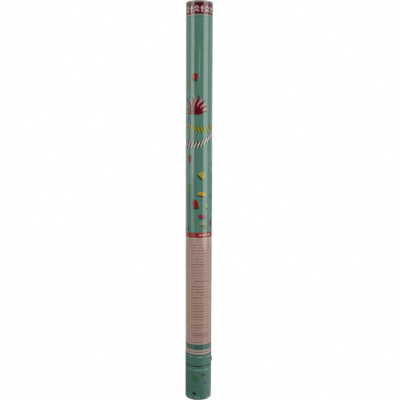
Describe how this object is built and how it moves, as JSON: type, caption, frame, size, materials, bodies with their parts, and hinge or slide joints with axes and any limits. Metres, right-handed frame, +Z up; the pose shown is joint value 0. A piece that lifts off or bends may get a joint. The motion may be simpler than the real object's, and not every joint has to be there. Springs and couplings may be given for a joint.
{
  "type": "confetti popper",
  "caption": "Tall round confetti popper: a paper-wrapped board barrel loaded with confetti on a twist base whose air can is released by a pin in helical grooves.",
  "frame": {"origin": "centre of the standing face, under the twist base's hem, on the barrel's axis", "axes": "+Z up along the barrel towards the muzzle, -Y towards the viewer of the picture, +X to the viewer's right"},
  "size_m": [0.0559, 0.0546, 0.8],
  "materials": {
    "tube_board": "spirally wound grey-brown board with cut edges",
    "barrel_print": "glossy laminated paper, printed teal with a red muzzle band, bands and small confetti",
    "collar_paper": "glossy green paper strip",
    "staple_wire": "galvanised wire",
    "lock_plastic": "moulded black polypropylene",
    "wad_board": "grey board with cut edges",
    "base_print": "glossy laminated paper, printed dark green with small confetti, hem turned in",
    "end_plug_plastic": "moulded dark grey polypropylene",
    "can_metal": "drawn bare aluminium",
    "seal_rubber": "black moulded rubber",
    "head_plastic": "moulded white nylon",
    "release_plastic": "moulded red acetal",
    "pin_steel": "drawn steel rod",
    "wad_felt": "pressed grey felt",
    "confetti_red": "tissue paper slips",
    "confetti_yellow": "tissue paper slips",
    "confetti_green": "tissue paper slips",
    "confetti_blue": "tissue paper slips",
    "confetti_pink": "tissue paper slips",
    "seal_card": "foil-faced card"
  },
  "bodies": {
    "barrel": {"barrel_tube": "tube_board", "barrel_wrap": "barrel_print", "collar_band": "collar_paper", "staples": "staple_wire", "lock_ring": "lock_plastic", "wad_seat": "wad_board"},
    "twist_base": {"base_tube": "tube_board", "base_wrap": "base_print", "end_plug": "end_plug_plastic", "can_sleeve": "wad_board", "air_can": "can_metal", "fill_valve": "seal_rubber", "can_head": "head_plastic", "head_seal": "seal_rubber"},
    "release": {"release_plug": "release_plastic", "plug_seal": "seal_rubber", "cross_pin": "pin_steel"},
    "charge": {"wad_lower_card": "wad_board", "wad_felt": "wad_felt", "wad_upper_card": "wad_board", "confetti_red": "confetti_red", "confetti_yellow": "confetti_yellow", "confetti_green": "confetti_green", "confetti_blue": "confetti_blue", "confetti_pink": "confetti_pink"},
    "seal": {"muzzle_seal": "seal_card"}
  },
  "joints": [
    {"name": "base_twist", "type": "hinge", "parent": "barrel", "child": "twist_base", "pos_m": [0, 0, 0.0726], "axis": [0, 0, 1], "range_deg": [0, 90]},
    {"name": "plug_lift", "type": "slide", "parent": "twist_base", "child": "release", "axis": [0, 0, 1], "range_m": [0, 0.008]},
    {"name": "charge_shot", "type": "slide", "parent": "barrel", "child": "charge", "axis": [0, 0, 1], "range_m": [0, 0.69]},
    {"name": "seal_shot", "type": "slide", "parent": "barrel", "child": "seal", "axis": [0, 0, 1], "range_m": [0, 0.69]}
  ],
  "couplings": [
    {"joint": "plug_lift", "follows": "base_twist", "m_per_rad": 0.0050929},
    {"joint": "seal_shot", "follows": "charge_shot", "ratio": 1}
  ]
}
